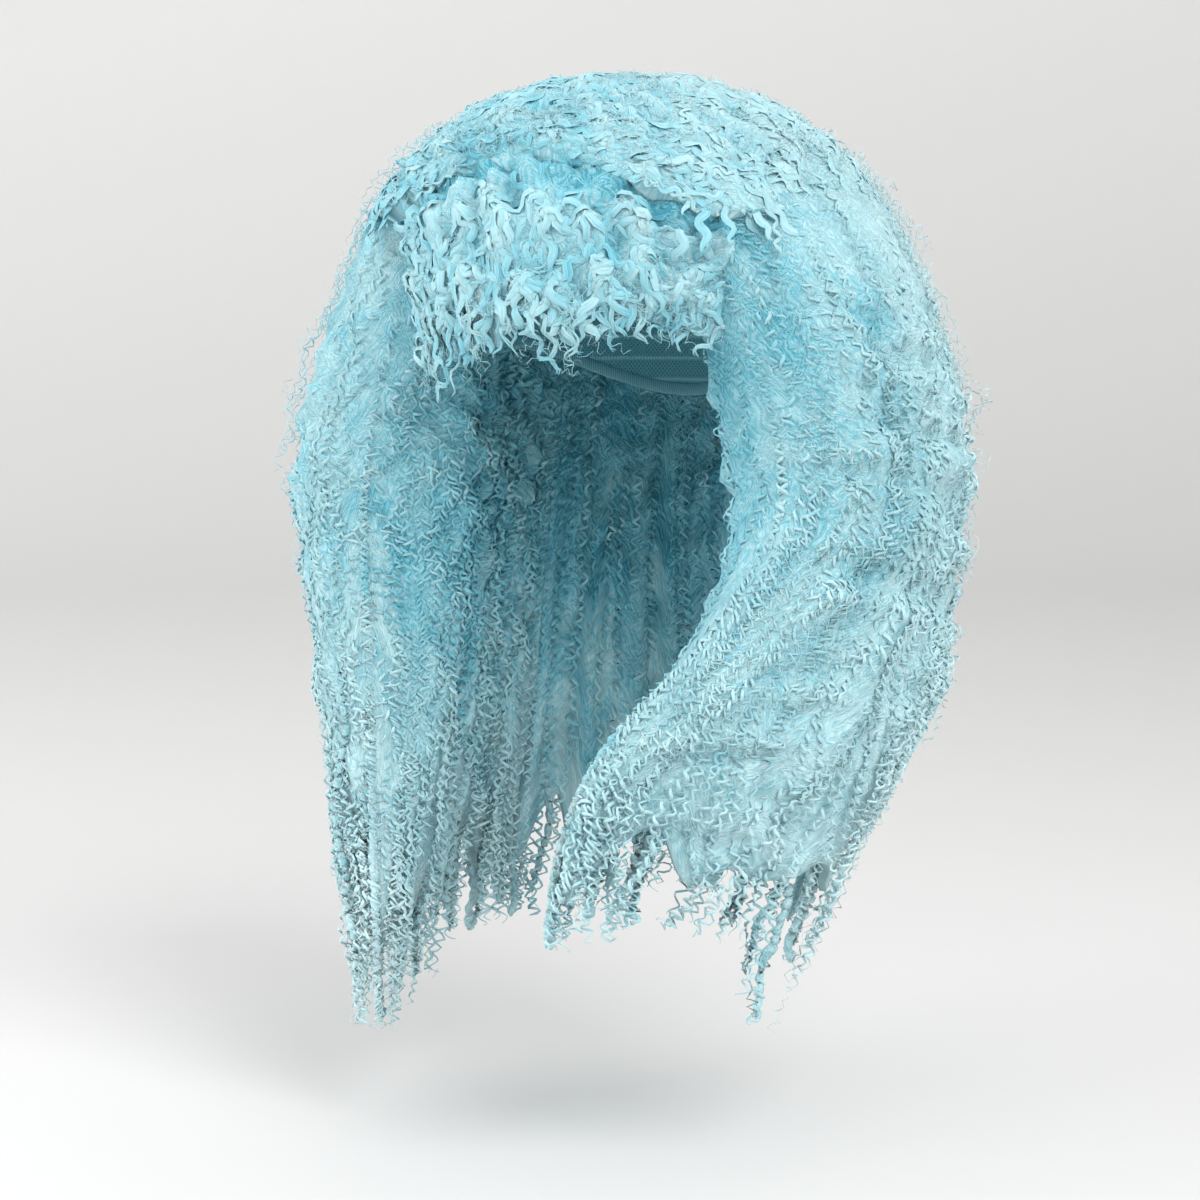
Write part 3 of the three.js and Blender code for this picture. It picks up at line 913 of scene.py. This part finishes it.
# %% [markdown]
# ## Falls
# The long hair hangs in three falls. One curl after another could be placed by hand, but evenly spread
# families with a little chance in them look more like hair: ringlets round the outside, others round the
# inside, shorter ones that end the fall, thick twisted locks that fill it between them, and frizz that lifts
# off it. Toward the tips the ringlets gather in locks of different widths, which leaves the lower edge
# ragged.

# %% Falls
LOCKS = 17
lock_draw = np.random.default_rng(23)
lock_edges = np.sort(lock_draw.uniform(0, 1, LOCKS - 1))
lock_middles = (np.append(0, lock_edges) + np.append(lock_edges, 1)) / 2
lock_middles[[0, -1]] = 0, 1
lock_pull = lock_draw.uniform(0.1, 0.6, LOCKS)


# Strands may cross the seams between the falls, but not a front edge.
STRAND_SIDES = {"fall_left": (0, 1.05), "fall_back": (-0.05, 1.05), "fall_right": (-0.05, 1)}


def fall_family(strands, name, count, kind, side, depths, starts, lengths, light, stray, flares, lifts=(0, 0)):
    """Curls spread evenly round the outside (side 1) or the inside (side 0), gathered in locks at the tips."""
    shares, distance = fall_round[name, side]
    share = np.interp((np.arange(count) + spread(count, 0, 1)) / count * distance[-1], distance, shares)
    start, reach = spread(count, *starts), spread(count, *lengths)
    t = along_curl(kind, FALL_REACH * np.mean(lengths))
    length = start[:, None] + np.minimum(reach, spread(count, 0.93, 1.03) - start)[:, None] * t
    lock = np.searchsorted(lock_edges, share)
    loose_end = ease(0.55, 1.02, length)
    pulled = mix(share[:, None], lock_middles[lock][:, None], lock_pull[lock][:, None] * loose_end)
    across = np.clip(pulled + wander(count, length, stray, LONG_STRAY) * (1 + loose_end), *STRAND_SIDES[name])
    depth = each(count, *depths) + wander(count, length, DEPTH_STRAY, LONG_STRAY)
    depth = depth + each(count, *flares) * loose_end + each(count, *lifts) * t ** 1.5
    shade = fall_light(name, across, length, depth)
    strands.grow(kind, across, length, depth, light, shade, 1 if side else -1)


FALL_CURLS = {
    "fall_left": dict(outside=100, inside=12, tips=60, locks=40, frizz=100, loose=12),
    "fall_back": dict(outside=72, inside=24, tips=30, locks=30, frizz=34, loose=4),
    "fall_right": dict(outside=60, inside=56, tips=40, locks=36, frizz=70, loose=12),
}
# Each family's light is painted by layer before fall_light adds more: paler for the frizz and loose ringlets
# on top, as if lit through, and darker for the thick locks and the inside ringlets, as painted shade.
FALL_FAMILIES = {
    "outside": dict(kind=RINGLET, side=1, depths=(0.96, 0.995), starts=(-0.1, 0.5), lengths=(0.5, 0.9),
                    light=0.53, stray=0.018, flares=(-0.1, 0.2)),
    "inside": dict(kind=RINGLET, side=0, depths=(-0.005, 0.03), starts=(-0.02, 0.3), lengths=(0.6, 0.9),
                   light=0.50, stray=0.008, flares=(-0.1, 0.1)),
    "tips": dict(kind=RINGLET, side=1, depths=(0.1, 0.95), starts=(0.60, 0.80), lengths=(0.2, 0.4),
                 light=0.53, stray=0.012, flares=(-0.2, 0.4)),
    "locks": dict(kind=TWISTED_LOCK, side=1, depths=(0.15, 0.95), starts=(0.62, 0.80), lengths=(0.12, 0.35),
                  light=0.46, stray=0.012, flares=(-0.2, 0.3)),
    "frizz": dict(kind=FRIZZ, side=1, depths=(0.98, 1.02), starts=(-0.1, 0.8), lengths=(0.15, 0.35),
                  light=0.60, stray=0.02, flares=(-0.1, 0.2), lifts=(0.02, 0.13)),
    "loose": dict(kind=LOOSE_RINGLET, side=1, depths=(1.0, 1.04), starts=(-0.05, 0.6), lengths=(0.25, 0.45),
                  light=0.56, stray=0.02, flares=(-0.1, 0.2), lifts=(0.02, 0.08)),
}
FALL_PIECES = {
    "_curls": (fibre, ("outside", "inside", "tips")),
    "_locks": (packed_falls, ("locks",)),
    "_frizz": (fibre, ("frizz", "loose")),
}
for name, counts in FALL_CURLS.items():
    for ending, (finish, families) in FALL_PIECES.items():
        strands = Strands(fall_surface(name))
        for family in families:
            fall_family(strands, name, counts[family], **FALL_FAMILIES[family])
        hair_pieces[name].append(strands.build(name + ending, finish))

# %% [markdown]
# ## Crown
# The crown's hair is looser. Most of it runs out from the top of the head in every direction, but over the
# brow it parts: some locks sweep to both sides, some lie along the arch, above the fringe, and some run from
# its end down on to the left fall. So the crown has four families, which differ only in the path that their
# strands take by bearing and ring.

# %% Crown
CROWN_STRAND, ARCH_STRAND, PAST_ARCH = 0.14, 0.7 * 0.14, 0.03


def crown_family(strands, kind, count, shares, depths, starts, past, light, stray, lifts=(0, 0)):
    share = mix(*shares, (np.arange(count) + spread(count, 0, 1)) / count)
    t = along_curl(kind, CROWN_STRAND)
    edge = crown_edge(2 * math.pi * share)
    end = edge + spread(count, *past) * ease(ARCH_RING, CROWN_RING, edge)
    ring = mix(np.minimum(spread(count, *starts), end - 1.0)[:, None], end[:, None], t)
    across = share[:, None] + wander(count, t, stray, SHORT_STRAY) / (0.6 + ring)
    depth = each(count, *depths) + wander(count, t, DEPTH_STRAY, SHORT_STRAY)
    depth = depth + each(count, *lifts) * t ** 1.5
    strands.grow(kind, across, ring, depth, light, crown_light(across, ring))


def swept_family(strands, kind, count, depths, starts, past, light):
    """Locks that part over the brow and sweep to both sides along the arch."""
    way = np.sign(spread(count, -1, 1))
    t = along_curl(kind, CROWN_STRAND)
    first = ARCH_BEARING + way * spread(count, 0.0, 0.5)
    last = first + way * spread(count, 0.5, 1.1)
    bearing = mix(first[:, None], last[:, None], t)
    end = crown_edge(last) + spread(count, *past)
    ring = mix(each(count, *starts), end[:, None], t) + wander(count, t, 0.08, SHORT_STRAY)
    ring = np.minimum(ring, crown_edge(bearing) + PAST_ARCH)
    depth = each(count, *depths) + wander(count, t, DEPTH_STRAY, SHORT_STRAY)
    across = bearing / (2 * math.pi)
    strands.grow(kind, across, ring, depth, light, crown_light(across, ring))


def arch_family(strands, kind, count, depths, light):
    """Locks that lie along the edge of the arch, above the fringe."""
    way = np.where(np.arange(count) % 2, 1, -1)
    t = along_curl(kind, ARCH_STRAND)
    first = ARCH_BEARING + way * spread(count, -0.05, 0.35)
    bearing = mix(first[:, None], (first + way * spread(count, 0.4, 0.7))[:, None], t)
    ring = crown_edge(bearing) - each(count, 0.0, 0.6) + wander(count, t, 0.05, SHORT_STRAY)
    ring = np.minimum(ring, crown_edge(bearing) + PAST_ARCH)
    depth = each(count, *depths) + wander(count, t, DEPTH_STRAY, SHORT_STRAY)
    across = bearing / (2 * math.pi)
    strands.grow(kind, across, ring, depth, light, crown_light(across, ring))


def temple_family(strands, kind, count, light):
    """Locks that leave the arch on the wearer's left and sink on to the front edge of the fall there."""
    t = along_curl(kind, CROWN_STRAND)
    first = spread(count, 0.45, 0.85)
    bearing = mix(first[:, None], (first + spread(count, 0.2, 0.5))[:, None], t ** 0.8)
    ring = mix(each(count, 2.3, 3.2), each(count, 3.9, 4.8), t)
    depth = mix(each(count, 0.94, 0.97), each(count, 0.80, 0.90), t ** 2)
    depth = depth + wander(count, t, DEPTH_STRAY, SHORT_STRAY)
    across = bearing / (2 * math.pi) + wander(count, t, 0.006, SHORT_STRAY)
    strands.grow(kind, across, ring, depth, light, crown_light(across, ring))


strands = Strands(crown_surface)
crown_family(strands, CROWN_LOCK, 66, shares=(0.09, 0.86), depths=(0.948, 0.974), starts=(0.1, 2.8),
             past=(-0.5, 0.6), light=0.41, stray=0.03)
# The temple locks are painted darker, to lie in the painted shade at the temple.
temple_family(strands, CROWN_LOCK, 14, light=0.33)
crown_family(strands, CROWN_LOCK, 8, shares=(0.83, 0.90), depths=(0.90, 0.98), starts=(1.8, 3.0),
             past=(0.1, 0.7), light=0.43, stray=0.03)
swept_family(strands, CROWN_LOCK, 52, depths=(0.95, 0.978), starts=(0.4, 2.9), past=(-0.4, 0.3), light=0.41)
arch_family(strands, CROWN_LOCK, 36, depths=(0.95, 0.985), light=0.39)
hair_pieces["crown"].append(strands.build("crown_locks", streaked))
strands = Strands(crown_surface)
crown_family(strands, WAVE, 36, shares=(0.09, 0.86), depths=(0.95, 0.98), starts=(0.1, 2.8),
             past=(-0.5, 0.6), light=0.50, stray=0.03)
swept_family(strands, WAVE, 20, depths=(0.955, 0.985), starts=(0.4, 2.9), past=(-0.4, 0.3), light=0.50)
hair_pieces["crown"].append(strands.build("crown_curls", fibre))
strands = Strands(crown_surface)
# The frizz is painted paler than the locks under it, as if lit through.
crown_family(strands, FRIZZ, 96, shares=(0, 1), depths=(0.97, 1.0), starts=(0.1, 2.8),
             past=(-0.6, 0.8), light=0.62, stray=0.08, lifts=(0.02, 0.18))
hair_pieces["crown"].append(strands.build("crown_frizz", fibre))


# %% [markdown]
# ## Fringe
# The fringe is short hair in broad waves. Thick wavy locks lie in two layers, with single waves, three fibres
# to each, and frizz over them. The strands start at different heights under the arch and end unevenly over
# the brow, and a few lie past its ends, so that no gap shows beside the falls.

# %% Fringe
FRINGE_STRAND, FRINGE_DEPTH_STRAY, FRINGE_SIDES = 0.095, 0.03, (-0.05, 1.05)


def fringe_family(strands, kind, count, depths, starts, ends, light, stray):
    share = mix(*FRINGE_SIDES, (np.arange(count) + spread(count, 0, 1)) / count)
    t = along_curl(kind, FRINGE_STRAND)
    length = mix(each(count, *starts), each(count, *ends), t)
    across = share[:, None] + wander(count, t, stray, SHORT_STRAY)
    depth = each(count, *depths) + wander(count, t, FRINGE_DEPTH_STRAY, SHORT_STRAY)
    strands.grow(kind, across, length, depth, light, fringe_light(across, length))


strands = Strands(fringe_surface)
fringe_family(strands, WAVY_LOCK, 58, depths=(0.80, 0.94), starts=(-0.02, 0.4), ends=(0.84, 0.97),
              light=0.42, stray=0.03)
fringe_family(strands, WAVY_LOCK, 64, depths=(0.93, 1.0), starts=(-0.05, 0.45), ends=(0.68, 0.96),
              light=0.43, stray=0.045)
hair_pieces["fringe"].append(strands.build("fringe_locks", streaked))
strands = Strands(fringe_surface)
fringe_family(strands, BROAD_WAVE, 34, depths=(0.82, 1.0), starts=(0.2, 0.6), ends=(0.92, 1.06),
              light=0.44, stray=0.03)
# The frizz is painted paler than the locks under it, as if lit through.
fringe_family(strands, FRIZZ, 80, depths=(0.80, 1.08), starts=(0.2, 0.7), ends=(0.85, 1.07),
              light=0.52, stray=0.05)
hair_pieces["fringe"].append(strands.build("fringe_curls", fibre))

# %% [markdown]
# ## Taking the solids' place
# The wig has no joints, so every piece rides on the frame's root. Each one stands in for the plain solid on
# whose form it was grown, and that solid is hidden.

# %% Ride and replace
for node, pieces in hair_pieces.items():
    for piece in pieces:
        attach(piece, "root")
        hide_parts(node)
for piece in cap_pieces:
    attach(piece, "root")
    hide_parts("cap")

# %% [markdown]
# ## Camera
# The photo was taken from the wearer's left and a little above, with a long lens, so the near and the far
# side of the hair look almost equally big. The camera is placed by those angles round a target on the head's
# axis.

# %% Camera
CAMERA_AZIMUTH, CAMERA_ELEVATION, CAMERA_DISTANCE = math.radians(24), math.radians(6), 1.775
HALF_VIEW = math.radians(11)
AXIS_SHIFT, TARGET_Z = 0.0155, -0.262

right = np.array([math.cos(CAMERA_AZIMUTH), math.sin(CAMERA_AZIMUTH), 0])
target = -AXIS_SHIFT * right + np.array([0, 0, TARGET_Z])
back = np.array([math.sin(CAMERA_AZIMUTH) * math.cos(CAMERA_ELEVATION),
                 -math.cos(CAMERA_AZIMUTH) * math.cos(CAMERA_ELEVATION), math.sin(CAMERA_ELEVATION)])
camera_data = bpy.data.cameras.new("photo_camera")
camera_data.lens = camera_data.sensor_width / 2 / math.tan(HALF_VIEW)
camera = add_object("photo_camera", camera_data)
camera.location = target + CAMERA_DISTANCE * back
camera.rotation_euler = (math.pi / 2 - CAMERA_ELEVATION, 0, CAMERA_AZIMUTH)
bpy.context.scene.camera = camera

# %% [markdown]
# ## Stage and light
# Hair looks hard under a small lamp, so a white sky gives most of the light, with a large soft lamp high on
# the wearer's left and a weaker one low on the other side. The floor is a profile spun into a wide dish whose
# rim is the backdrop, and its finish has painted shade: a little darker on the floor and toward one side.

# %% Stage
FLOOR_Z, FLOOR_RADIUS, SWEEP_RADIUS, WALL_HEIGHT = -0.57, 3.2, 1.6, 2.0
# The way in which painted light makes the stage paler, and how pale it would be at the origin.
PAINTED_LIGHT_WAY, PAINTED_LIGHT_AT_ORIGIN = (-0.11, -0.05, 0.40), 0.72
FLOOR_COLOURS = (0.50, 0.50, 0.495, 1), (0.84, 0.84, 0.835, 1)
SKY_STRENGTH, LIGHT_AIM = 0.92, (0, 0, -0.25)
bm = bmesh.new()
start = bm.verts.new((0, 0, FLOOR_Z))
outer = bmesh.ops.extrude_vert_indiv(bm, verts=[start])["verts"]
bmesh.ops.translate(bm, verts=outer, vec=(FLOOR_RADIUS, 0, 0))
sweep = bmesh.ops.spin(bm, geom=outer, cent=(FLOOR_RADIUS, 0, FLOOR_Z + SWEEP_RADIUS), axis=(0, -1, 0),
                       angle=math.pi / 2, steps=16)
top = [item for item in sweep["geom_last"] if isinstance(item, bmesh.types.BMVert)]
wall = bmesh.ops.extrude_vert_indiv(bm, verts=top)["verts"]
bmesh.ops.translate(bm, verts=wall, vec=(0, 0, WALL_HEIGHT))
spin_round(bm)
bmesh.ops.remove_doubles(bm, verts=bm.verts[:], dist=0.0001)
bmesh.ops.recalc_face_normals(bm, faces=bm.faces[:])
pale = Finish("studio_painted_shade")
coordinates = pale.nodes.new("ShaderNodeTexCoord")
painted_falloff = pale.nodes.new("ShaderNodeVectorMath")
painted_falloff.operation = "DOT_PRODUCT"
painted_falloff.inputs[1].default_value = PAINTED_LIGHT_WAY
pale.links.new(coordinates.outputs["Object"], painted_falloff.inputs[0])
# Painted shade: the stage is darker toward the floor and toward one side.
pale.colour(pale.math("ADD", painted_falloff.outputs["Value"], PAINTED_LIGHT_AT_ORIGIN), FLOOR_COLOURS)
floor = keep_mesh(bm, "studio_floor", pale.plain(roughness=0.8))

world = bpy.data.worlds.new("studio")
world.use_nodes = True
sky = world.node_tree.nodes["Background"]
sky.inputs["Color"].default_value = (1.0, 1.0, 1.0, 1)
sky.inputs["Strength"].default_value = SKY_STRENGTH
bpy.context.scene.world = world


def soft_light(name, place, size, watts):
    data = bpy.data.lights.new(name, "AREA")
    data.shape, data.size, data.energy = "DISK", size, watts
    lamp = add_object(name, data)
    lamp.location = place
    direction = np.array(LIGHT_AIM) - np.array(place)
    flat = math.hypot(direction[0], direction[1])
    lamp.rotation_euler = (math.atan2(flat, -direction[2]), 0, math.atan2(-direction[0], direction[1]))


soft_light("key", (2.0, -1.4, 1.5), size=2.0, watts=74)
soft_light("fill", (-1.9, -1.3, 0.4), size=2.0, watts=38)
bpy.context.scene.view_settings.view_transform = "Standard"
